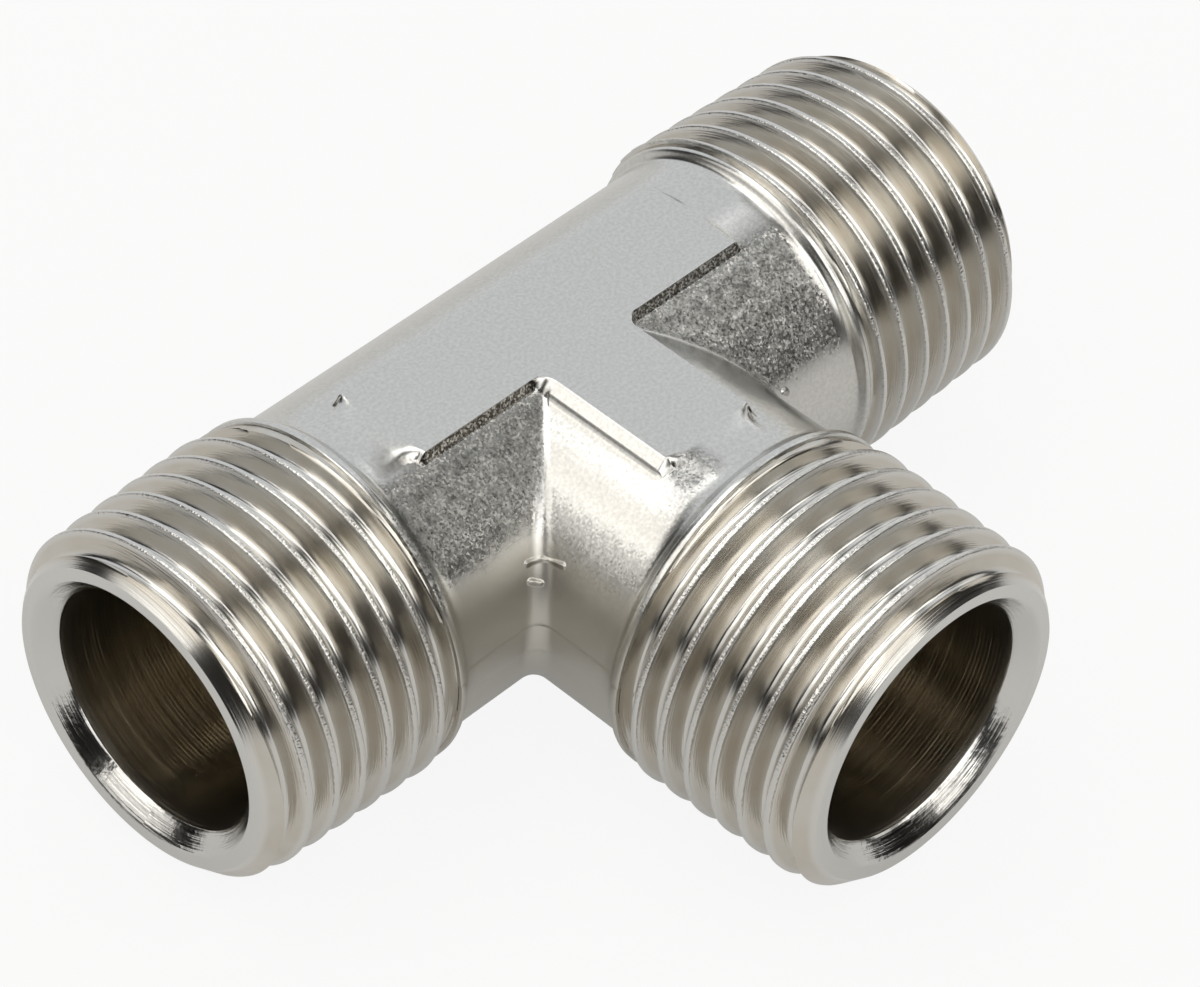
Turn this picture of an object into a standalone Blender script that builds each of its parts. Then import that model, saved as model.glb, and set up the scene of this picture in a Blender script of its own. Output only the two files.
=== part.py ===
"""Male tee connector for half inch pipe: one brass forging, turned, drilled, threaded and nickel plated.

Two arms in line along X make the run, and the branch points along -Y. Each arm ends in a right-hand taper
pipe thread. A raised T-shaped flat lies on the top and on the underside, small fillets run down both
valleys between run and branch, and a trimmed flash band follows the forging's parting plane.

The tee lies on its three threads, with the origin under the middle of its bounding box. The shapes are
worked out around the point where the arms' axes meet, and an empty there carries them all.
"""

import math

import bmesh
import bpy
from mathutils import Matrix, Vector

MM = 0.001

# From the middle of the tee to its faces
RUN_REACH = 29.0 * MM
BRANCH_REACH = 28.9 * MM

# Taper pipe thread: 14 turns to the inch, 55 degrees, 1 in 16 on the diameter
PITCH = 25.4 / 14 * MM
GAUGE_RADIUS = 20.955 / 2 * MM
GAUGE_LENGTH = 8.2 * MM  # from the face to where the thread has its gauge diameter
TAPER = 1 / 32  # on the radius
FLANK_ANGLE = math.radians(27.5)
CREST_FLAT = 0.26 * MM
ROOT_FLAT = 0.40 * MM
THREAD_DEPTH = (PITCH - CREST_FLAT - ROOT_FLAT) / 2 / math.tan(FLANK_ANGLE)
FIRST_CREST = 0.12 * MM  # from the face to the crest nearest it, at the top of the arm
REST_TURNS = 6.5  # from that crest to the widest one that reaches straight down

# Collar between the thread and the forged arm, a turned land with a bevel and a flare behind it
LAND_START = 13.6 * MM  # from the face
LAND_WIDTH = 0.4 * MM
LAND_UNDER_CREST = 0.23 * MM
COLLAR_BEVEL_LENGTH = 0.5 * MM
COLLAR_BEVEL_RISE = 0.45 * MM
FLARE_LENGTH = 1.9 * MM
FLARE_RISE = 0.25 * MM
FLARE_STEPS = 3

# Faces and bore
WALL = 2.5 * MM  # between the bore and the outside of the plain arms
COUNTERSINK_DEPTH = 1.0 * MM  # at 45 degrees
CHAMFER_UNDER_ROOT = 0.11 * MM  # the outer chamfer starts this far under the thread's root

# Raised T-shaped flats
PANEL_PROUD = 0.07 * MM  # over the crown of the arms
PANEL_HALF_WIDTH = 3.05 * MM
PANEL_RUN_GAP = 3.3 * MM  # from the end of the flat to the collar's land
PANEL_BRANCH_GAP = 3.1 * MM
PANEL_INNER_RADIUS = 1.0 * MM
PANEL_OUTER_RADIUS = 0.5 * MM
PANEL_DEPTH = 1.6 * MM
PANEL_DRAFT = 0.36  # sideways growth for each unit of depth

# Valleys and parting plane
VALLEY_RADIUS = 0.7 * MM
VALLEY_SINK = 0.03 * MM  # how far the fillet's edges dip under the arms
VALLEY_CORE = 2.0 * MM  # how far the fillet's root lies inside the arms
VALLEY_END_ANGLE = math.radians(13.5)  # from straight up or down, under the raised flats
FLASH_HALF_HEIGHT = 0.95 * MM
FLASH_PROUD = 0.08 * MM

# Mesh fineness
SEGMENTS = 40
ARC_STEPS = 3
SHARP_ANGLE = math.radians(30)
OVERLAP = 1.0 * MM  # by how much solids that are joined or cut run into each other
WELD = 0.001 * MM


def major_radius(from_face):
    """The thread's crest radius at a distance back from the face."""
    return GAUGE_RADIUS + (from_face - GAUGE_LENGTH) * TAPER


# Sizes that follow from the ones above
REST_RADIUS = major_radius(FIRST_CREST + REST_TURNS * PITCH)
LAND_RADIUS = major_radius(LAND_START) - LAND_UNDER_CREST
ARM_RADIUS = LAND_RADIUS - COLLAR_BEVEL_RISE - FLARE_RISE
BORE_RADIUS = ARM_RADIUS - WALL
LIP_OUTER_RADIUS = major_radius(0) - THREAD_DEPTH - CHAMFER_UNDER_ROOT
PANEL_HEIGHT = ARM_RADIUS + PANEL_PROUD
PANEL_RUN_END = RUN_REACH - LAND_START - PANEL_RUN_GAP
PANEL_BRANCH_END = BRANCH_REACH - LAND_START - PANEL_BRANCH_GAP

SPIGOTS = {
    "left": (RUN_REACH, Vector((-1, 0, 0))),
    "right": (RUN_REACH, Vector((1, 0, 0))),
    "branch": (BRANCH_REACH, Vector((0, -1, 0))),
}


def clear_scene():
    for obj in list(bpy.data.objects):
        bpy.data.objects.remove(obj)


def new_collection(name):
    collection = bpy.data.collections.new(name)
    bpy.context.scene.collection.children.link(collection)
    return collection


def add_object(name, mesh, collection):
    obj = bpy.data.objects.new(name, mesh)
    collection.objects.link(obj)
    return obj


def arm_frame(direction):
    """The frame of an arm: local Z runs out along the arm, and local X points up."""
    out = direction
    up = Vector((0, 0, 1))
    side = out.cross(up)
    return Matrix((up, side, out)).transposed().to_4x4()


def evaluated_mesh(obj):
    """The object's shape after its modifiers, as a mesh of its own."""
    graph = bpy.context.evaluated_depsgraph_get()
    return bpy.data.meshes.new_from_object(obj.evaluated_get(graph))


def turned(name, profile, frame, collection):
    """A solid of revolution from (radius, height) points that start and end on the axis, top first."""
    mesh = bpy.data.meshes.new(name)
    edges = [(i, i + 1) for i in range(len(profile) - 1)]
    mesh.from_pydata([(radius, 0, height) for radius, height in profile], edges, [])
    obj = add_object(name, mesh, collection)
    screw = obj.modifiers.new("Turn", "SCREW")
    screw.steps = SEGMENTS
    screw.render_steps = SEGMENTS
    screw.use_merge_vertices = True
    screw.merge_threshold = WELD
    obj.matrix_world = frame
    return obj


def collar_profile(reach):
    """(radius, height) points down an arm, from the threaded end of the collar to the plain arm."""
    start = reach - LAND_START
    flare_radius = (FLARE_LENGTH**2 + FLARE_RISE**2) / (2 * FLARE_RISE)
    flare_start = start - COLLAR_BEVEL_LENGTH - FLARE_LENGTH
    sweep = math.asin(FLARE_LENGTH / flare_radius)
    points = [(LAND_RADIUS, start + LAND_WIDTH), (LAND_RADIUS, start)]
    for step in range(FLARE_STEPS, -1, -1):
        angle = sweep * step / FLARE_STEPS
        radius = ARM_RADIUS + flare_radius * (1 - math.cos(angle))
        points.append((radius, flare_start + flare_radius * math.sin(angle)))
    return points


def run_core(collection):
    """Both arms of the run with their collars, without thread or bore."""
    half = collar_profile(RUN_REACH)
    mirrored = [(radius, -height) for radius, height in reversed(half)]
    profile = [(0, half[0][1]), *half, *mirrored, (0, mirrored[-1][1])]
    return turned("run_core", profile, arm_frame(Vector((1, 0, 0))), collection)


def branch_core(collection):
    half = collar_profile(BRANCH_REACH)
    profile = [(0, half[0][1]), *half, (ARM_RADIUS, 0), (0, 0)]
    return turned("branch_core", profile, arm_frame(Vector((0, -1, 0))), collection)


def thread_profile():
    """(depth under the crest, height) over one pitch, from the middle of one root to the middle of the next."""
    crest = CREST_FLAT / 2
    root = PITCH / 2 - ROOT_FLAT / 2
    return [(THREAD_DEPTH, -root), (0, -crest), (0, crest), (THREAD_DEPTH, root)]


def threaded_rod(name, reach, frame, collection):
    """A closed tapered rod with the helical thread, longer than the spigot at both ends."""
    turns = math.ceil((LAND_START + 2 * OVERLAP) / PITCH) + 2
    top_crest = reach - FIRST_CREST + PITCH
    profile = thread_profile()
    low = profile[0][1] + top_crest - turns * PITCH
    mesh = bpy.data.meshes.new(name)
    points = [(GAUGE_RADIUS - depth, 0, top_crest - turns * PITCH + height) for depth, height in profile]
    points.append((GAUGE_RADIUS - THREAD_DEPTH, 0, low + PITCH))
    edges = [(i, i + 1) for i in range(len(points) - 1)]
    mesh.from_pydata(points, edges, [])
    obj = add_object(name, mesh, collection)
    screw = obj.modifiers.new("Helix", "SCREW")
    screw.steps = SEGMENTS
    screw.render_steps = SEGMENTS
    screw.iterations = turns
    screw.screw_offset = PITCH
    screw.use_merge_vertices = False
    helix = bmesh.new()
    helix.from_mesh(evaluated_mesh(obj))
    bmesh.ops.remove_doubles(helix, verts=helix.verts, dist=WELD)
    for vert in helix.verts:
        depth = GAUGE_RADIUS - math.hypot(vert.co.x, vert.co.y)
        radius = major_radius(reach - vert.co.z) - depth
        vert.co.xy = vert.co.xy.normalized() * radius
    close_ends(helix)
    bmesh.ops.recalc_face_normals(helix, faces=helix.faces)
    solid = bpy.data.meshes.new(name)
    helix.to_mesh(solid)
    helix.free()
    bpy.data.objects.remove(obj)
    rod = add_object(name, solid, collection)
    rod.matrix_world = frame
    return rod


def close_ends(helix):
    """Closes each open end of the helix with a fan to a point on the axis."""
    loose = {edge for edge in helix.edges if edge.is_boundary}
    while loose:
        loop = [loose.pop()]
        front = [loop[0]]
        while front:
            edge = front.pop()
            joined = [e for vert in edge.verts for e in vert.link_edges if e in loose]
            loose.difference_update(joined)
            front.extend(joined)
            loop.extend(joined)
        heights = [vert.co.z for edge in loop for vert in edge.verts]
        middle = helix.verts.new((0, 0, sum(heights) / len(heights)))
        for edge in loop:
            helix.faces.new((*edge.verts, middle))


def spigot_envelope(name, reach, frame, collection):
    """What the thread is cut back to: a chamfer at the face and a short run-out at the collar."""
    outer = LAND_RADIUS + OVERLAP
    low = reach - LAND_START + LAND_WIDTH / 2
    profile = [
        (0, reach),
        (LIP_OUTER_RADIUS, reach),
        (outer, reach - (outer - LIP_OUTER_RADIUS)),
        (outer, low + (outer - LAND_RADIUS)),
        (LAND_RADIUS - OVERLAP / 4, low - OVERLAP / 4),
        (0, low - OVERLAP / 4),
    ]
    return turned(name, profile, frame, collection)


def arc(centre, radius, start, end):
    """Points of a flat arc from one angle to another, in degrees."""
    points = []
    for step in range(ARC_STEPS + 1):
        angle = math.radians(start + (end - start) * step / ARC_STEPS)
        points.append((centre[0] + radius * math.cos(angle), centre[1] + radius * math.sin(angle)))
    return points


def tee_outline(half_width, run_end, branch_end, inner_radius, outer_radius):
    """The outline of a T in the XY plane, counter-clockwise, with rounded corners."""
    inner = half_width + inner_radius
    side = half_width - outer_radius
    end = run_end - outer_radius
    foot = branch_end - outer_radius
    return [
        *arc((end, side), outer_radius, 0, 90),
        *arc((-end, side), outer_radius, 90, 180),
        *arc((-end, -side), outer_radius, 180, 270),
        *arc((-inner, -inner), inner_radius, 90, 0),
        *arc((-side, -foot), outer_radius, 180, 270),
        *arc((side, -foot), outer_radius, 270, 360),
        *arc((inner, -inner), inner_radius, 180, 90),
        *arc((end, -side), outer_radius, 270, 360),
    ]


def loft(name, rings, collection):
    """A closed solid through rings that have equal numbers of points."""
    shape = bmesh.new()
    verts = [[shape.verts.new(point) for point in ring] for ring in rings]
    count = len(rings[0])
    for lower, upper in zip(verts, verts[1:]):
        for i in range(count):
            j = (i + 1) % count
            shape.faces.new((lower[i], lower[j], upper[j], upper[i]))
    shape.faces.new(verts[0])
    shape.faces.new(verts[-1])
    bmesh.ops.recalc_face_normals(shape, faces=shape.faces)
    mesh = bpy.data.meshes.new(name)
    shape.to_mesh(mesh)
    shape.free()
    return add_object(name, mesh, collection)


def raised_panel(name, side, collection):
    """The raised T-shaped flat, drafted as forged, on the top (side 1) or the underside (side -1)."""
    growth = PANEL_DEPTH * PANEL_DRAFT
    top = tee_outline(PANEL_HALF_WIDTH, PANEL_RUN_END, PANEL_BRANCH_END, PANEL_INNER_RADIUS, PANEL_OUTER_RADIUS)
    foot = tee_outline(
        PANEL_HALF_WIDTH + growth,
        PANEL_RUN_END + growth,
        PANEL_BRANCH_END + growth,
        PANEL_INNER_RADIUS - growth,
        PANEL_OUTER_RADIUS + growth,
    )
    rings = [
        [(x, y, side * (PANEL_HEIGHT - PANEL_DEPTH)) for x, y in foot],
        [(x, y, side * PANEL_HEIGHT) for x, y in top],
    ]
    return loft(name, rings, collection)


def valley_section(angle, side):
    """The fillet's section where the valley lies at an angle from the top: a rolling ball's arc and its root."""
    across, up = math.sin(angle), math.cos(angle)
    reach = ARM_RADIUS + VALLEY_RADIUS - VALLEY_SINK
    centre = Vector((-across, -across, up)) * reach
    to_run = Vector((0, across, -up))
    to_branch = Vector((across, 0, -up))
    points = []
    for step in range(ARC_STEPS + 1):
        towards = to_run.slerp(to_branch, step / ARC_STEPS)
        points.append(centre + towards * VALLEY_RADIUS)
    points.append(Vector((-across, -across, up)) * (ARM_RADIUS - VALLEY_CORE))
    return [(side * point.x, point.y, point.z) for point in points]


def valley_fillet(name, side, collection):
    """The fillet down the valley on the left (side 1) or the right (side -1) of the branch."""
    step = 2 * math.pi / SEGMENTS
    count = round((math.pi - 2 * VALLEY_END_ANGLE) / step)
    start = math.pi / 2 - count * step / 2
    rings = [valley_section(start + i * step, side) for i in range(count + 1)]
    return loft(name, rings, collection)


def flash_band(collection):
    """The trimmed flash on the parting plane: a T-shaped plate, slightly proud, that ends in the collars."""
    outline = tee_outline(
        ARM_RADIUS + FLASH_PROUD,
        RUN_REACH - LAND_START + LAND_WIDTH / 2,
        BRANCH_REACH - LAND_START + LAND_WIDTH / 2,
        VALLEY_RADIUS - VALLEY_SINK - FLASH_PROUD,
        VALLEY_RADIUS,
    )
    rings = [[(x, y, z) for x, y in outline] for z in (-FLASH_HALF_HEIGHT, FLASH_HALF_HEIGHT)]
    return loft("flash_band", rings, collection)


def bore_profile(reach, low):
    """A bore with its 45 degree countersink, from outside the face down to a height on the axis."""
    mouth = BORE_RADIUS + COUNTERSINK_DEPTH + OVERLAP
    top = reach + OVERLAP
    return [(0, top), (mouth, top), (BORE_RADIUS, reach - COUNTERSINK_DEPTH), (BORE_RADIUS, low), (0, low)]


def bore_cutters(collection):
    half = bore_profile(RUN_REACH, 0)[:-2]
    mirrored = [(radius, -height) for radius, height in reversed(half)]
    run = turned("run_bore", half + mirrored, arm_frame(Vector((1, 0, 0))), collection)
    profile = bore_profile(BRANCH_REACH, 0)
    branch = turned("branch_bore", profile, arm_frame(Vector((0, -1, 0))), collection)
    return [run, branch]


def boolean(obj, other, operation):
    modifier = obj.modifiers.new(f"{operation.title()} {other.name}", "BOOLEAN")
    modifier.operation = operation
    modifier.object = other
    modifier.solver = "EXACT"


def hide(collection):
    """Marks cutters and the pieces that are joined as construction, which a render leaves out."""
    for obj in collection.objects:
        obj.hide_render = True
        obj.display_type = "WIRE"


def nickel_material():
    """Bright nickel plate over brass."""
    material = bpy.data.materials.new("nickel_plate")
    material.use_nodes = True
    shader = material.node_tree.nodes["Principled BSDF"]
    shader.inputs["Base Color"].default_value = (0.62, 0.60, 0.56, 1)
    shader.inputs["Metallic"].default_value = 1.0
    shader.inputs["Roughness"].default_value = 0.28
    return material


def tee_body(parts, construction):
    """The whole forging: cores, flats, fillets, flash and threads joined, and the bores cut through."""
    pieces = [
        branch_core(construction),
        raised_panel("top_panel", 1, construction),
        raised_panel("under_panel", -1, construction),
        valley_fillet("left_valley", 1, construction),
        valley_fillet("right_valley", -1, construction),
        flash_band(construction),
    ]
    for name, (reach, direction) in SPIGOTS.items():
        frame = arm_frame(direction)
        thread = threaded_rod(f"{name}_thread", reach, frame, construction)
        envelope = spigot_envelope(f"{name}_envelope", reach, frame, construction)
        boolean(thread, envelope, "INTERSECT")
        pieces.append(thread)
    body = run_core(parts)
    body.name = "tee_body"
    for piece in pieces:
        boolean(body, piece, "UNION")
    for cutter in bore_cutters(construction):
        boolean(body, cutter, "DIFFERENCE")
    return body


def main():
    clear_scene()
    parts = new_collection("tee_connector")
    construction = new_collection("construction")
    centre = add_object("axes_meet", None, parts)
    centre.location = (0, (BRANCH_REACH - REST_RADIUS) / 2, REST_RADIUS)
    body = tee_body(parts, construction)
    mesh = evaluated_mesh(body)
    mesh.name = "tee_body"
    body.modifiers.clear()
    body.data = mesh
    mesh.shade_smooth()
    mesh.set_sharp_from_angle(angle=SHARP_ANGLE)
    mesh.materials.append(nickel_material())
    hide(construction)
    for obj in (body, *construction.objects):
        obj.parent = centre


main()
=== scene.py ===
"""Looks for the tee connector: the visual model, its materials, the light, the floor and the camera."""

import math

import bmesh
import bpy
import numpy as np
from mathutils import Matrix, Vector


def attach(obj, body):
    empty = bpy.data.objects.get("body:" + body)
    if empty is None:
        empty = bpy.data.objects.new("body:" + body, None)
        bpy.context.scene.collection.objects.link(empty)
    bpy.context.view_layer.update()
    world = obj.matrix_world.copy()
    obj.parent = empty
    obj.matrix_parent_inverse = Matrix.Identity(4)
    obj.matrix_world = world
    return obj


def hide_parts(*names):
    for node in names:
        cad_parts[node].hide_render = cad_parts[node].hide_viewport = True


MM = 0.001
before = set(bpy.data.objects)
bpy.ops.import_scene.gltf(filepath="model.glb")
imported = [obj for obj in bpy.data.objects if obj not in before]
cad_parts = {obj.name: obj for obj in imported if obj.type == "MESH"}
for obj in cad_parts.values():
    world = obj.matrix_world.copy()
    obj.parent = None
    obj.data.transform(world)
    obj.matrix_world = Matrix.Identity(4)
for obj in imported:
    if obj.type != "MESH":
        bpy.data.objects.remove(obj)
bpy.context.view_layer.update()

# Sizes of the part in millimetres, around the point where the arms' axes meet
PITCH = 25.4 / 14
GAUGE_RADIUS = 20.955 / 2
GAUGE_LENGTH = 8.2
TAPER = 1 / 32
CREST_HALF = 0.13
FLANK_SLOPE = 1 / math.tan(math.radians(27.5))
THREAD_DEPTH = 1.109
FIRST_CREST = 0.12
REST_RADIUS = GAUGE_RADIUS + (FIRST_CREST + 6.5 * PITCH - GAUGE_LENGTH) * TAPER
ARM_RADIUS = 9.716
BORE_RADIUS = 7.216
COUNTERSINK = 1.0
LIP_OUTER = 9.0
PANEL_HEIGHT = 9.786
PANEL_HALF_WIDTH = 3.05
PANEL_RUN_END = 12.1
PANEL_BRANCH_END = 12.2
RUN_WALL_DRAFT = 0.36
BRANCH_WALL_DRAFT = 1.15
FAR_WALL_DRAFT = 0.2
PANEL_INNER_RADIUS = 1.0
VALLEY_RADIUS = 1.1
FLASH_HALF = 0.95
FLASH_PROUD = 0.05
FLASH_EDGE = 0.1
FLASH_FADE = 1.5  # the length over which the right arm's flash runs out
PANEL_EDGE = 0.08
DRAFT_DEPTH = 0.5  # how far out the drafted wall turns steep
STEEP_DRAFT = 0.15
REACH = {"left": 29.0, "right": 29.0, "branch": 28.9}
CENTRE = np.array((0, (REACH["branch"] - REST_RADIUS) / 2, REST_RADIUS))

# Collars as (distance from the centre, radius), from the plain arm to where the thread starts
SOFT_COLLAR = [
    (13.0, 9.716), (14.3, 9.73), (14.8, 9.76), (15.0, 9.82), (15.12, 9.9), (15.22, 9.98), (15.32, 10.08),
    (15.58, 10.33), (15.7, 10.385), (16.0, 10.4), (16.05, 10.38), (16.1, 10.2),
]
SHARP_COLLAR = [
    (13.0, 9.716), (14.3, 9.73), (14.9, 9.76), (15.08, 9.82), (15.18, 9.9), (15.26, 10.0), (15.32, 10.1),
    (15.38, 10.19), (15.46, 10.26), (15.56, 10.3), (15.64, 10.32), (15.7, 10.29), (15.75, 10.24), (16.0, 10.22),
]
COLLARS = {"left": SOFT_COLLAR, "right": SHARP_COLLAR, "branch": SOFT_COLLAR}
TURN = 180  # steps round a turned surface

# The flats' ends melt into the crown over these lengths, from a little before the end
FADE_BEFORE_END = 0.4
FADE_FAR = 0.9
FADE_NEAR = 0.55
FADE_MIDDLE = 2.0  # more, away from the corners
FADE_RIGHT = 0.45
BEAD_HEIGHT = 0.1
BEAD_SIZE = 0.25

# Where the thread runs out into the collar, as a cone
RUNOUT_RADIUS = 10.24
RUNOUT_START = 16.55
RUNOUT_RISE = 1.2
COLLAR_FALL = 1.6
CHAMFER_ROUND = 0.08

# Which way an arm's local angle turns across, seen from the top
SIDE = {"left": -1, "right": 1, "branch": -1}


def smooth_max(a, b, width):
    """The larger of two values, rounded only where they are within a width of each other."""
    return np.maximum(a, b) + np.maximum(width - np.abs(a - b), 0) ** 2 / (4 * width)


def smooth_min(a, b, width):
    return -smooth_max(-a, -b, width)


def place(name, along, across, up):
    """World points in metres from an arm's own distances: along it, across it and up."""
    if name == "branch":
        local = np.stack([-across, -along, up], -1)
    else:
        local = np.stack([along if name == "right" else -along, -across, up], -1)
    return (local + CENTRE) * MM


def mesh_object(name, grids, materials, sharp):
    """One object from (points, material index, outward or inward) grids, welded where they meet."""
    verts, faces, slots = [], [], []
    start = 0
    for points, slot, side in grids:
        rows, cols = points.shape[:2]
        flat = points.reshape(-1, 3)
        index = np.arange(rows * cols).reshape(rows, cols)
        quads = np.stack([index[:-1, :-1], index[1:, :-1], index[1:, 1:], index[:-1, 1:]], -1).reshape(-1, 4)
        corners = flat[quads]
        normal = np.cross(corners[:, 2] - corners[:, 0], corners[:, 3] - corners[:, 1])
        quads = quads[np.linalg.norm(normal, axis=1) > 1e-13]
        if np.sum(normal * side.reshape(rows, cols, 3)[:-1, :-1].reshape(-1, 3)) < 0:
            quads = quads[:, ::-1]
        verts.append(flat)
        faces.append(quads + start)
        slots.append(np.full(len(quads), slot))
        start += rows * cols
    mesh = bpy.data.meshes.new(name)
    mesh.from_pydata(np.concatenate(verts).tolist(), [], np.concatenate(faces).tolist())
    mesh.polygons.foreach_set("material_index", np.concatenate(slots).astype(np.int32))
    for material in materials:
        mesh.materials.append(material)
    shape = bmesh.new()
    shape.from_mesh(mesh)
    bmesh.ops.remove_doubles(shape, verts=shape.verts, dist=2e-6)
    shape.to_mesh(mesh)
    shape.free()
    mesh.shade_smooth()
    mesh.set_sharp_from_angle(angle=math.radians(sharp))
    obj = bpy.data.objects.new(name, mesh)
    bpy.context.scene.collection.objects.link(obj)
    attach(obj, "root")
    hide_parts("tee_body")
    return obj


def major_radius(from_face):
    return GAUGE_RADIUS + (from_face - GAUGE_LENGTH) * TAPER


def thread_depth(offset):
    """How far the thread lies under its crest at an offset along the axis from the crest's middle."""
    offset = np.abs((offset + PITCH / 2) % PITCH - PITCH / 2)
    flank = smooth_max(np.zeros_like(offset), (offset - CREST_HALF) * FLANK_SLOPE, 0.1)
    return smooth_min(flank, np.full_like(offset, THREAD_DEPTH), 0.26)


def thread_grid(name):
    """The threaded outside of an arm, on rows that follow the helix, cut to the collar and the chamfer."""
    reach = REACH[name]
    start, start_radius = COLLARS[name][-1]
    half = np.array([0.06, 0.1, 0.14, 0.18, 0.24, 0.32, 0.42, 0.52, 0.6, 0.66, 0.72, 0.78, 0.84])
    steps = np.concatenate([-half[::-1], [0], half, [PITCH / 2]])
    top = reach - FIRST_CREST + PITCH
    turns = math.ceil((top - start) / PITCH) + 1
    rows = np.concatenate([top - k * PITCH + steps for k in range(turns, -1, -1)])
    theta = np.linspace(-math.pi, math.pi, TURN + 1)
    helix = PITCH * theta[None, :] / (2 * math.pi)
    along = np.clip(rows[:, None] + helix, start, reach)
    crest = reach - FIRST_CREST + helix
    radius = major_radius(reach - along) - thread_depth(along - crest)
    if name == "right":
        radius = np.maximum(radius, start_radius - (along - start) * COLLAR_FALL)
    else:
        cone = RUNOUT_RADIUS + np.maximum(0, along - RUNOUT_START) * RUNOUT_RISE
        radius = smooth_min(radius, cone, CHAMFER_ROUND)
        radius = np.maximum(radius, start_radius - 0.1 - (along - start) * COLLAR_FALL)
    chamfer = LIP_OUTER + reach - along
    radius = np.where(reach - along < 2.2, smooth_min(radius, chamfer, CHAMFER_ROUND), radius)
    radius = np.where(along >= reach, LIP_OUTER, radius)
    radius = np.where(along <= start, start_radius, radius)
    angle = np.broadcast_to(theta[None, :], along.shape)
    return turned_points(name, along, radius, angle)


def turned_points(name, along, radius, theta):
    """Points and outward directions from an arm's lathe coordinates, with the angle from the top."""
    across = radius * np.sin(theta) * SIDE[name]
    points = place(name, along, across, radius * np.cos(theta))
    outward = place(name, along, across * 1.1, radius * np.cos(theta) * 1.1) - points
    return points, outward


def bore_grid(name):
    """The lip, the countersink and the bore, down to where it meets the other arms' bores."""
    reach = REACH[name]
    theta = np.linspace(-math.pi, math.pi, TURN + 1)
    across = np.sin(theta) * SIDE[name]
    low = BORE_RADIUS * (np.abs(across) if name == "branch" else np.maximum(across, 0))
    mouth = BORE_RADIUS + COUNTERSINK
    edge = [(LIP_OUTER - step, reach) for step in (0, 0.3, 0.6)]
    edge += [(mouth + 0.03, reach), (mouth - 0.02, reach - 0.02)]
    edge += [(BORE_RADIUS + COUNTERSINK * t, reach - COUNTERSINK * (1 - t)) for t in (0.75, 0.5, 0.25, 0.02)]
    edge += [(BORE_RADIUS, reach - COUNTERSINK - 0.03)]
    along = [np.full_like(theta, h) for _, h in edge]
    radius = [np.full_like(theta, r) for r, _ in edge]
    for share in np.linspace(0, 1, 41)[1:]:
        along.append((reach - COUNTERSINK - 0.03) * (1 - share) + low * share)
        radius.append(np.full_like(theta, BORE_RADIUS))
    along, radius = np.array(along), np.array(radius)
    points, outward = turned_points(name, along, radius, np.broadcast_to(theta, along.shape))
    inward = -outward
    lip, none = along[:5], 0 * along[:5]
    inward[:5] = place(name, lip + 1, none, none) - place(name, lip, none, none)
    return points, inward


def angle_steps():
    """Angles from the top, in degrees, close together at the flats' walls and at the flash band's edges."""
    wall = np.arange(16.6, 22.01, 0.27)
    band = np.array([83.7, 84.15, 84.35, 84.6, 85.1])
    plain = np.arange(0, 90.01, 2)
    plain = plain[((plain < 16.5) | (plain > 22.1)) & ((plain < 83) | (plain > 86))]
    quarter = np.unique(np.round(np.concatenate([wall, band, plain]), 3))
    half = np.concatenate([quarter, 180 - quarter[-2::-1]])
    return np.radians(np.concatenate([-half[:0:-1], half]))


def panel_surface(along, across, inner_corner, own_draft, other_draft):
    """Height of the raised flat with its drafted walls and its inner corner's radius."""
    side = across - PANEL_HALF_WIDTH
    other = np.where(inner_corner, along - PANEL_HALF_WIDTH, 99)
    ball = PANEL_INNER_RADIUS
    to_side, to_other = np.maximum(ball - side, 0), np.maximum(ball - other, 0)
    corner = ball - np.hypot(to_side, to_other)
    near = (side < ball) & (other < ball) & (side > -ball) & (other > -ball)
    away = np.where(near, corner, np.minimum(side, other))
    share = np.where(near, to_side / np.maximum(to_side + to_other, 1e-6), np.where(side < other, 1.0, 0.0))
    draft = own_draft * share + other_draft * (1 - share)
    wall = np.maximum(away / draft, (away - DRAFT_DEPTH) / STEEP_DRAFT)
    return PANEL_HEIGHT - smooth_max(np.zeros_like(away), wall, PANEL_EDGE)


def flash(up):
    """The trimmed flash's rise at a height over the parting plane."""
    return FLASH_PROUD * np.clip((FLASH_HALF - np.abs(up)) / FLASH_EDGE + 0.5, 0, 1)


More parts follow.
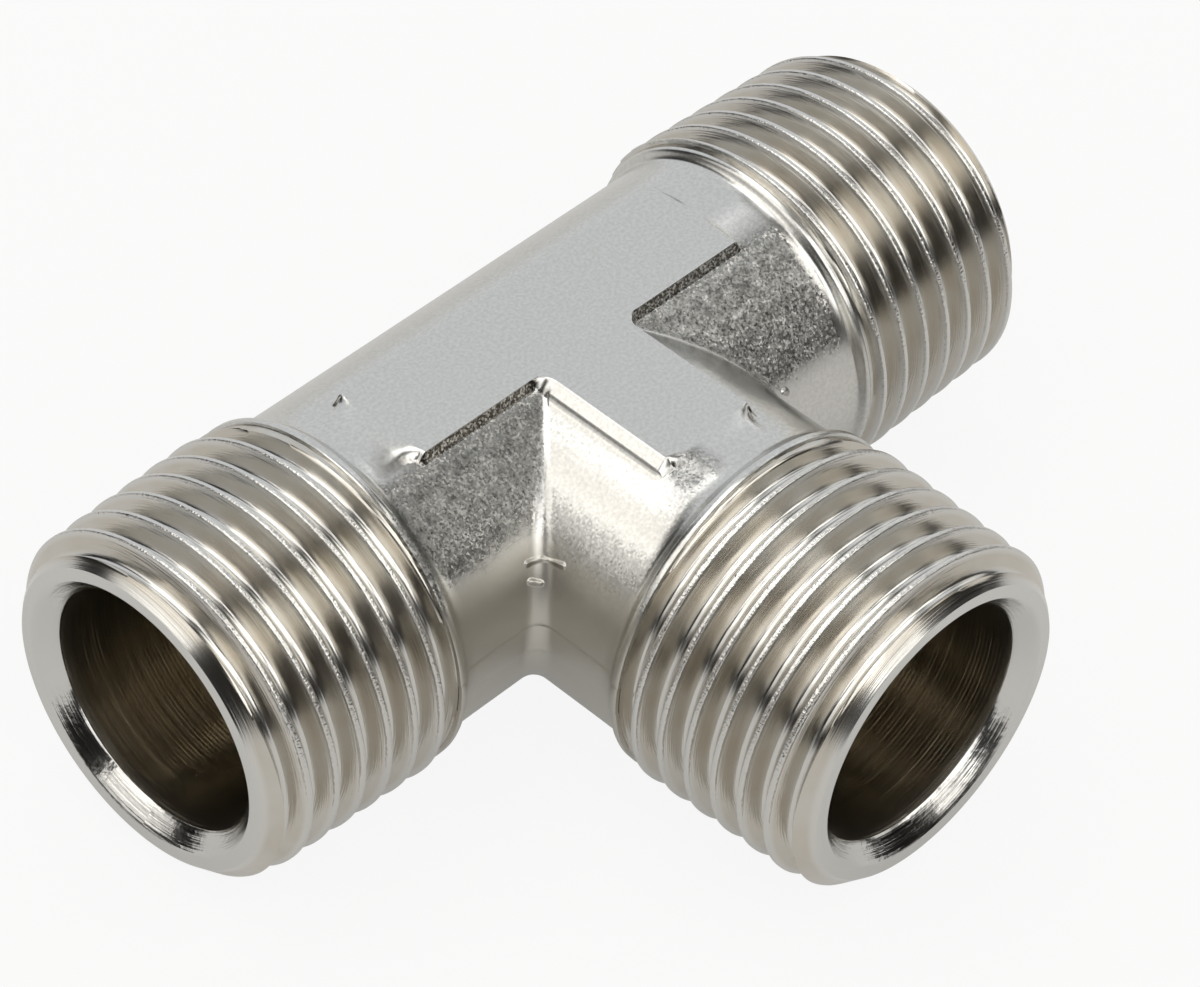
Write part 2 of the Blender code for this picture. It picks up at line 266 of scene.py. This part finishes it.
def forged_grid(name):
    """An arm's forged outside, from the seams with its neighbours to the end of its collar."""
    phi = angle_steps()
    sine, cosine = np.sin(np.abs(phi)), np.cos(phi)
    opened = (phi > 0) | (name == "branch")
    sign = np.where(phi < 0, -1, 1)
    ball = ARM_RADIUS + VALLEY_RADIUS
    own = np.stack([0 * sine, -sine, -cosine])
    other = np.stack([-sine, 0 * sine, -cosine])
    gap = np.arccos(np.clip(np.sum(own * other, axis=0), -1, 1))
    rows = []
    for share in np.linspace(0.5, 0, 8):
        weight = np.where(gap < 1e-4, share, np.sin(share * gap) / np.maximum(np.sin(gap), 1e-9))
        rest = np.where(gap < 1e-4, 1 - share, np.sin((1 - share) * gap) / np.maximum(np.sin(gap), 1e-9))
        towards = rest * own + weight * other
        point = np.stack([sine, sine, cosine]) * ball + towards * VALLEY_RADIUS
        level = np.hypot(towards[0], towards[1])
        push = flash(point[2]) / np.maximum(level, 1e-6)
        point[0] -= push * towards[0]
        point[1] -= push * towards[1]
        straight = np.stack([0 * sine, (ARM_RADIUS + flash(ARM_RADIUS * cosine)) * sine, ARM_RADIUS * cosine])
        rows.append(np.where(opened, point, straight))
    start = np.where(opened, ball * sine, 0.0)
    middle = 11.5
    collar = [s for s, _ in COLLARS[name][1:]]
    fixed = np.concatenate([np.arange(11.6, 12.75, 0.06), [12.85, 13.0], np.array(collar)])
    near = np.linspace(0, 1, 30)[1:] ** 1.35
    along = [start + (middle - start) * share for share in near]
    along = np.array(along + [np.full_like(start, s) for s in fixed])
    reach_s, reach_r = zip(*([(0, ARM_RADIUS)] + COLLARS[name]))
    radius = np.interp(along, reach_s, reach_r)
    across = radius * sine
    up = radius * cosine
    fade = np.clip(1 - (along - start) / FLASH_FADE, 0, 1) if name == "right" else 1.0
    across = across + flash(up) * fade
    grid = np.concatenate([np.array(rows), np.stack([along, across, up], 1)])
    end = PANEL_BRANCH_END if name == "branch" else PANEL_RUN_END
    if name == "branch":
        drafts = (np.where(phi > 0, BRANCH_WALL_DRAFT, FAR_WALL_DRAFT), RUN_WALL_DRAFT)
    else:
        drafts = (RUN_WALL_DRAFT, BRANCH_WALL_DRAFT if name == "left" else FAR_WALL_DRAFT)
    height = panel_surface(grid[:, 0], grid[:, 1], np.broadcast_to(opened, grid[:, 0].shape), *drafts)
    plain = np.abs(grid[:, 2])
    length = np.where(phi < 0, FADE_FAR, FADE_NEAR) + FADE_MIDDLE * np.clip((2.85 - grid[:, 1]) / 0.8, 0, 1)
    if name == "right":
        length = FADE_RIGHT
    fade = np.clip((grid[:, 0] - end + FADE_BEFORE_END) / length, 0, 1)
    raised = plain + (smooth_max(plain, height, 0.05) - plain) * (1 - fade**2 * (3 - 2 * fade))
    if name != "right":
        bead = np.hypot(grid[:, 0] - end + 0.1, (grid[:, 1] - PANEL_HALF_WIDTH + 0.15) * 0.8)
        raised = raised + np.where(phi < 0, BEAD_HEIGHT, 0.0) * np.exp(-((bead / BEAD_SIZE) ** 2))
    grid[:, 2] = np.sign(grid[:, 2]) * raised
    points = place(name, grid[:, 0], grid[:, 1] * sign, grid[:, 2])
    outward = points - place(name, grid[:, 0], 0 * grid[:, 1], 0 * grid[:, 2])
    return points, outward


class Nodes:
    """Short calls for building a node tree."""

    def __init__(self, tree):
        self.tree = tree

    def add(self, kind, inputs=None, **settings):
        node = self.tree.nodes.new(kind)
        for key, value in settings.items():
            setattr(node, key, value)
        for key, value in (inputs or {}).items():
            self.set(node.inputs[key], value)
        return node

    def set(self, socket, value):
        if isinstance(value, bpy.types.NodeSocket):
            self.tree.links.new(value, socket)
        else:
            socket.default_value = value

    def math(self, operation, a, b=0.0, clamp=False):
        node = self.add("ShaderNodeMath", {0: a, 1: b}, operation=operation)
        node.use_clamp = clamp
        return node.outputs[0]

    def ramp(self, value, low, high, to_low=0.0, to_high=1.0):
        inputs = {0: value, 1: low, 2: high, 3: to_low, 4: to_high}
        return self.add("ShaderNodeMapRange", inputs, interpolation_type="SMOOTHSTEP").outputs[0]

    def noise(self, vector, scale, detail=2.0, roughness=0.5):
        inputs = {"Vector": vector, "Scale": scale, "Detail": detail, "Roughness": roughness}
        return self.add("ShaderNodeTexNoise", inputs).outputs[0]

    def mix(self, factor, a, b):
        node = self.add("ShaderNodeMix", {0: factor, 6: a, 7: b}, data_type="RGBA")
        return node.outputs[2]

    def times(self, first, *others):
        """The product of two or more values."""
        for other in others:
            first = self.math("MULTIPLY", first, other)
        return first

    def stretched(self, lathe, scales):
        """Lathe coordinates as a point, each times its own scale."""
        parts = {i: self.times(value, scale) for i, (value, scale) in enumerate(zip(lathe, scales))}
        return self.add("ShaderNodeCombineXYZ", parts).outputs[0]


def new_material(name):
    """A metal, with the place in millimetres from the axes' meeting point, whole and by axis."""
    material = bpy.data.materials.new(name)
    material.use_nodes = True
    nodes = Nodes(material.node_tree)
    shader = material.node_tree.nodes["Principled BSDF"]
    shader.inputs["Metallic"].default_value = 1.0
    metres = nodes.add("ShaderNodeTexCoord").outputs["Object"]
    moved = nodes.add("ShaderNodeVectorMath", {0: metres, 1: tuple(-CENTRE * MM)}, operation="ADD").outputs[0]
    scaled = nodes.add("ShaderNodeVectorMath", {0: moved, 1: (1000, 1000, 1000)}, operation="MULTIPLY").outputs[0]
    split = nodes.add("ShaderNodeSeparateXYZ", {0: scaled})
    return material, nodes, shader, scaled, split.outputs


def lathe_coordinates(nodes, axes, branch):
    """Distance along the arm's axis, radius and angle, in millimetres and radians."""
    along, across = (axes[1], axes[0]) if branch else (axes[0], axes[1])
    squares = nodes.math("ADD", nodes.times(across, across), nodes.times(axes[2], axes[2]))
    radius = nodes.math("SQRT", squares)
    angle = nodes.math("ARCTAN2", across, axes[2])
    return nodes.math("ABSOLUTE", along), radius, angle


def bump(nodes, shader, layers):
    """Chains bump layers of (height, distance in millimetres)."""
    normal = None
    for height, distance in layers:
        inputs = {"Height": height, "Distance": distance * MM, "Strength": 1.0}
        if normal is not None:
            inputs["Normal"] = normal
        normal = nodes.add("ShaderNodeBump", inputs).outputs[0]
    nodes.set(shader.inputs["Normal"], normal)


def stroke(nodes, where, start, end, width):
    """A mask that is 1 on a short straight mark between two points, in millimetres."""
    start, end = Vector(start), Vector(end)
    run = end - start
    offset = nodes.add("ShaderNodeVectorMath", {0: where, 1: start}, operation="SUBTRACT").outputs[0]
    share = nodes.add("ShaderNodeVectorMath", {0: offset, 1: run / run.length_squared}, operation="DOT_PRODUCT")
    share = nodes.math("ADD", share.outputs["Value"], 0.0, clamp=True)
    foot = nodes.add("ShaderNodeVectorMath", {0: run, "Scale": share}, operation="SCALE").outputs[0]
    apart = nodes.add("ShaderNodeVectorMath", {0: offset, 1: foot}, operation="DISTANCE").outputs["Value"]
    return nodes.ramp(apart, width, 0.0)


RIB_PITCH = 0.24  # of the drilling marks in the bores

# Nicks in the valleys, as the ends of short strokes
RIGHT_NICK = ((9.85, -8.85, 3.9), (10.1, -9.15, 3.8))
LEFT_NICKS = (
    ((-9.7, -8.7, 4.33), (-9.0, -9.0, 4.42)),
    ((-9.0, -9.0, 4.42), (-8.6, -10.2, 4.52)),
    ((-9.85, -9.05, 3.4), (-9.5, -9.5, 3.3)),
)


def forged_material():
    """Blasted grain on the arms' fronts, painted shade low on the fronts, near-black walls at the run's flats,
    nicks in the valleys, soft metal elsewhere.
    """
    material, nodes, shader, where, axes = new_material("nickel_forged")
    cells = nodes.add("ShaderNodeTexVoronoi", {"Vector": where, "Scale": 9.0})
    grain = nodes.add("ShaderNodeSeparateColor", {0: cells.outputs["Color"]}).outputs
    clumps = nodes.noise(where, 1.5, 3.0, 0.6)
    fine = nodes.noise(where, 5.0, 2.0, 0.6)
    across, height = nodes.math("ABSOLUTE", axes[0]), nodes.math("ABSOLUTE", axes[2])
    front = nodes.ramp(axes[1], -2.2, -3.4)
    branch = nodes.ramp(nodes.math("ADD", nodes.math("ABSOLUTE", axes[1]), nodes.times(across, -1.0)), -0.3, 0.3)
    right = nodes.ramp(axes[0], 0.0, 4.0)
    uneven = nodes.math("SUBTRACT", clumps, 0.5)
    lower = nodes.math("ADD", nodes.math("ADD", height, nodes.times(right, 1.2)), nodes.times(uneven, 3.0))
    upper = nodes.times(nodes.ramp(height, 9.45, 8.8), nodes.ramp(lower, 5.2, 7.4))
    blasted = nodes.times(front, nodes.times(upper, nodes.ramp(branch, 0.0, 1.0, 1.0, 0.06)))
    brushed = nodes.ramp(across, 14.9, 14.2)
    blasted = nodes.times(blasted, nodes.mix(right, (1, 1, 1, 1), brushed))
    crown = nodes.times(nodes.ramp(axes[1], -12.1, -12.5), nodes.ramp(axes[1], -14.6, -13.6))
    crown = nodes.times(crown, nodes.times(nodes.ramp(axes[0], -0.6, -1.8), nodes.ramp(axes[0], -4.0, -3.0)))
    side = nodes.times(nodes.ramp(height, 3.8, 5.4), nodes.ramp(axes[0], -3.0, -5.0))
    side = nodes.times(nodes.ramp(height, 7.8, 6.6), side)
    worn = nodes.math("MAXIMUM", nodes.times(crown, 0.7), nodes.times(side, 0.2))
    worn = nodes.times(branch, worn)
    blasted = nodes.math("MAXIMUM", blasted, nodes.times(front, worn))
    # Painted shade: the lower fronts are made darker and browner in the base colour, less so on the right arm;
    # the same mask also raises the roughness there.
    low = nodes.times(front, nodes.ramp(height, 6.0, 4.5), nodes.ramp(right, 0.0, 1.0, 1.0, 0.2))
    tint = nodes.mix(nodes.ramp(fine, 0.3, 0.7), (0.565, 0.56, 0.535, 1), (0.645, 0.64, 0.62, 1))
    tint = nodes.mix(low, tint, (0.54, 0.52, 0.475, 1))
    dark = nodes.math("ADD", grain[0], nodes.times(uneven, 2.0))
    light = nodes.mix(right, (0.30, 0.30, 0.29, 1), (0.48, 0.48, 0.468, 1))
    speck = nodes.mix(nodes.ramp(dark, 0.0, 0.9), (0.07, 0.07, 0.066, 1), light)
    tint = nodes.mix(nodes.times(blasted, 0.9), tint, speck)
    # The front walls of the run's flats are made near black in the base colour.
    wall = nodes.times(nodes.ramp(axes[1], -3.02, -3.08), nodes.ramp(axes[1], -3.34, -3.24))
    ends = nodes.times(nodes.ramp(across, 12.3, 12.0), nodes.ramp(height, 9.0, 9.1))
    wall = nodes.times(wall, nodes.times(nodes.ramp(across, 3.4, 3.9), ends))
    wall = nodes.times(wall, nodes.ramp(nodes.math("ADD", fine, grain[1]), 0.4, 1.2, 0.35, 1.0))
    nodes.set(shader.inputs["Base Color"], nodes.mix(wall, tint, (0.06, 0.053, 0.043, 1)))
    rough = nodes.math("ADD", nodes.ramp(blasted, 0.2, 1.0, 0.24, 0.34), nodes.times(low, 0.14))
    nodes.set(shader.inputs["Roughness"], rough)
    marks = stroke(nodes, where, *RIGHT_NICK, 0.28)
    for start, end in LEFT_NICKS:
        marks = nodes.math("MAXIMUM", marks, stroke(nodes, where, start, end, 0.25))
    colour = cells.outputs["Color"]
    facet = nodes.add("ShaderNodeVectorMath", {0: colour, 1: (0.5, 0.5, 0.5)}, operation="SUBTRACT").outputs[0]
    tilt = nodes.times(nodes.math("ADD", blasted, 0.02), nodes.ramp(right, 0.0, 1.0, 0.45, 0.6))
    facet = nodes.add("ShaderNodeVectorMath", {0: facet, "Scale": tilt}, operation="SCALE").outputs[0]
    bump(nodes, shader, [(fine, 0.0025), (marks, 0.2)])
    smooth = shader.inputs["Normal"].links[0].from_socket
    tilted = nodes.add("ShaderNodeVectorMath", {0: smooth, 1: facet}, operation="ADD").outputs[0]
    normal = nodes.add("ShaderNodeVectorMath", {0: tilted}, operation="NORMALIZE").outputs[0]
    nodes.set(shader.inputs["Normal"], normal)
    return material


def turned_material(name, branch):
    """Fine turning lines, painted tan shade in the grooves and burrs on the crests."""
    material, nodes, shader, where, axes = new_material(name)
    lathe = along, radius, _ = lathe_coordinates(nodes, axes, branch)
    lines = nodes.noise(nodes.stretched(lathe, (14.0, 14.0, 1.5)), 1.0, 2.0)
    burrs = nodes.noise(nodes.stretched(lathe, (5.0, 5.0, 70.0)), 1.0, 2.0)
    reach = REACH["branch"] if branch else REACH["left"]
    crest = nodes.math("ADD", nodes.times(along, -TAPER), GAUGE_RADIUS + (reach - GAUGE_LENGTH) * TAPER)
    depth = nodes.math("SUBTRACT", crest, radius)
    # Painted shade: the grooves between the crests are made tan and darker in the base colour, in noisy patches.
    groove_shade = nodes.times(nodes.ramp(depth, 0.1, 0.4), nodes.ramp(depth, 1.08, 0.8))
    patch = nodes.ramp(nodes.noise(where, 0.35, 2.0), 0.3, 0.7, 0.55, 1.0)
    tint = nodes.mix(nodes.times(groove_shade, patch), (0.64, 0.63, 0.605, 1), (0.56, 0.525, 0.465, 1))
    nodes.set(shader.inputs["Base Color"], tint)
    edge = nodes.ramp(depth, 0.2, 0.04)
    nodes.set(shader.inputs["Roughness"], nodes.math("ADD", nodes.times(lines, 0.12), 0.13))
    bump(nodes, shader, [(lines, 0.01), (nodes.times(burrs, edge), 0.045)])
    return material


def bore_material(name, branch):
    """Drilling ribs and a brown tone inside, a smoother and dented mouth."""
    material, nodes, shader, where, axes = new_material(name)
    lathe = along, _, _ = lathe_coordinates(nodes, axes, branch)
    lines = nodes.noise(nodes.stretched(lathe, (8.0, 8.0, 0.4)), 1.0, 3.0)
    dents = nodes.noise(where, 2.2, 2.0)
    mouth = nodes.ramp(along, 27.8, 28.0)
    deep = nodes.ramp(along, 28.2, 26.0)
    ribs = nodes.math("SINE", nodes.times(along, 2 * math.pi / RIB_PITCH))
    tint = nodes.mix(deep, (0.63, 0.625, 0.605, 1), (0.60, 0.55, 0.46, 1))
    nodes.set(shader.inputs["Base Color"], tint)
    rough = nodes.math("ADD", nodes.times(lines, 0.12), nodes.ramp(mouth, 0.0, 1.0, 0.13, 0.1))
    nodes.set(shader.inputs["Roughness"], rough)
    bump(nodes, shader, [(lines, 0.022), (nodes.times(ribs, deep), 0.005), (nodes.times(dents, mouth), 0.02)])
    return material


def in_slot(grid, slot):
    """A grid's points and outward directions, with the number of its material between them."""
    points, side = grid
    return points, slot, side


def build_model():
    """The forging, the bores and the three threads, all in place of the tee's one node."""
    forged = forged_material()
    run, branch = turned_material("nickel_run_thread", False), turned_material("nickel_branch_thread", True)
    run_bore, branch_bore = bore_material("nickel_run_bore", False), bore_material("nickel_branch_bore", True)
    names = ("left", "right", "branch")
    mesh_object("tee_forging", [in_slot(forged_grid(name), 0) for name in names], [forged], 30)
    bores = [in_slot(bore_grid(name), int(name == "branch")) for name in names]
    mesh_object("tee_bores", bores, [run_bore, branch_bore], 30)
    for name in names:
        thread = in_slot(thread_grid(name), 0)
        mesh_object(f"{name}_thread", [thread], [branch if name == "branch" else run], 50)


CAMERA_ANGLES = (48.541, 45.005, 3.632)  # azimuth, elevation and roll
CAMERA_TARGET = (3.482, -2.501)  # right of and above the axes' meeting point
CAMERA_DISTANCE = 281.156
CAMERA_LENS = 155.65


def add_camera():
    """The photograph's camera, in the frame of the axes' meeting point."""
    azimuth, elevation, roll = (math.radians(a) for a in CAMERA_ANGLES)
    level = math.cos(elevation)
    back = Vector((-math.sin(azimuth) * level, -math.cos(azimuth) * level, math.sin(elevation)))
    right = (-back).cross(Vector((0, 0, 1))).normalized()
    up = right.cross(-back)
    turned_right = math.cos(roll) * right + math.sin(roll) * up
    turned_up = -math.sin(roll) * right + math.cos(roll) * up
    target = CAMERA_TARGET[0] * turned_right + CAMERA_TARGET[1] * turned_up
    data = bpy.data.cameras.new("camera")
    data.sensor_width = 36
    data.lens = CAMERA_LENS
    data.clip_start = 0.01
    camera = bpy.data.objects.new("camera", data)
    bpy.context.scene.collection.objects.link(camera)
    world = Matrix((turned_right, turned_up, back)).transposed().to_4x4()
    world.translation = (Vector(CENTRE) + target + back * CAMERA_DISTANCE) * MM
    camera.matrix_world = world
    bpy.context.scene.camera = camera


def add_softbox(name, direction, width, height, radiance, color, distance=0.6):
    """An area lamp in a direction from the tee, with its brightness as radiance."""
    data = bpy.data.lights.new(name, "AREA")
    data.shape = "RECTANGLE"
    data.size, data.size_y = width, height
    data.energy = radiance * math.pi * width * height
    data.color = color
    lamp = bpy.data.objects.new(name, data)
    bpy.context.scene.collection.objects.link(lamp)
    towards = Vector(direction).normalized()
    lamp.location = Vector(CENTRE) * MM + towards * distance
    lamp.rotation_euler = towards.to_track_quat("Z", "Y").to_euler()


def add_floor():
    """A plain floor that the camera sees as nearly white and that keeps the tee's shadow."""
    mesh = bpy.data.meshes.new("floor")
    side = 4.0
    corners = [(-side, -side, 0), (side, -side, 0), (side, side, 0), (-side, side, 0)]
    mesh.from_pydata(corners, [], [(0, 1, 2, 3)])
    floor = bpy.data.objects.new("floor", mesh)
    bpy.context.scene.collection.objects.link(floor)
    material = bpy.data.materials.new("floor_white")
    material.use_nodes = True
    nodes = Nodes(material.node_tree)
    shader = material.node_tree.nodes["Principled BSDF"]
    shader.inputs["Base Color"].default_value = (0.56, 0.55, 0.53, 1)
    shader.inputs["Roughness"].default_value = 0.9
    shader.inputs["Specular IOR Level"].default_value = 0.2
    glow = nodes.add("ShaderNodeEmission", {"Color": (1, 1, 1, 1), "Strength": 1.0})
    path = nodes.add("ShaderNodeLightPath")
    mirrored = nodes.math("MAXIMUM", path.outputs["Is Glossy Ray"], path.outputs["Is Transmission Ray"])
    seen = nodes.times(path.outputs["Is Camera Ray"], 0.9)
    share = nodes.math("MAXIMUM", seen, nodes.times(mirrored, 0.35))
    blend = nodes.add("ShaderNodeMixShader", {0: share, 1: shader.outputs[0], 2: glow.outputs[0]})
    nodes.set(material.node_tree.nodes["Material Output"].inputs["Surface"], blend.outputs[0])
    mesh.materials.append(material)


def add_walls():
    """Dark studio walls, seen only in the metal."""
    mesh = bpy.data.meshes.new("studio_walls")
    shape = bmesh.new()
    bmesh.ops.create_uvsphere(shape, u_segments=48, v_segments=24, radius=3.5)
    bmesh.ops.delete(shape, geom=[v for v in shape.verts if v.co.z < -0.02], context="VERTS")
    for face in shape.faces:
        face.normal_flip()
    shape.to_mesh(mesh)
    shape.free()
    mesh.shade_smooth()
    walls = bpy.data.objects.new("studio_walls", mesh)
    bpy.context.scene.collection.objects.link(walls)
    walls.visible_camera = False
    material = bpy.data.materials.new("wall_grey")
    material.use_nodes = True
    shader = material.node_tree.nodes["Principled BSDF"]
    shader.inputs["Base Color"].default_value = (0.13, 0.115, 0.10, 1)
    shader.inputs["Roughness"].default_value = 1.0
    shader.inputs["Specular IOR Level"].default_value = 0.0
    mesh.materials.append(material)


def add_world():
    """White background; the light comes from the lamps."""
    world = bpy.data.worlds.new("studio")
    world.use_nodes = True
    background = world.node_tree.nodes["Background"]
    background.inputs["Color"].default_value = (1, 1, 1, 1)
    background.inputs["Strength"].default_value = 1.0
    bpy.context.scene.world = world


build_model()
add_camera()
add_floor()
add_walls()
add_world()
add_softbox("overhead", (-0.05, 0.24, 0.97), 0.4, 0.36, 2.4, (1, 0.99, 0.97))
add_softbox("back", (0.5, 0.72, 0.48), 1.1, 0.9, 0.86, (0.94, 0.97, 1.0), 0.75)
add_softbox("bridge", (0.55, 0.12, 0.83), 0.2, 0.2, 0.7, (0.97, 0.98, 1.0))
add_softbox("left", (-0.6, 0.22, 0.76), 0.52, 0.36, 1.7, (1, 0.97, 0.92))
add_softbox("left_low", (-0.78, 0.36, 0.42), 0.56, 0.24, 1.0, (1, 0.98, 0.94))
add_softbox("front_low", (-0.02, -0.86, 0.48), 0.36, 0.18, 1.7, (1, 0.98, 0.94))
add_softbox("right_low", (0.9, -0.1, 0.38), 0.5, 0.24, 0.9, (1, 0.98, 0.94))
add_softbox("front", (-0.34, -0.58, 0.7), 0.44, 0.66, 2.0, (1, 0.99, 0.97), 0.7)
add_softbox("right", (0.36, -0.5, 0.74), 0.42, 0.34, 2.0, (1, 0.98, 0.93))
bpy.context.scene.view_settings.view_transform = "Standard"
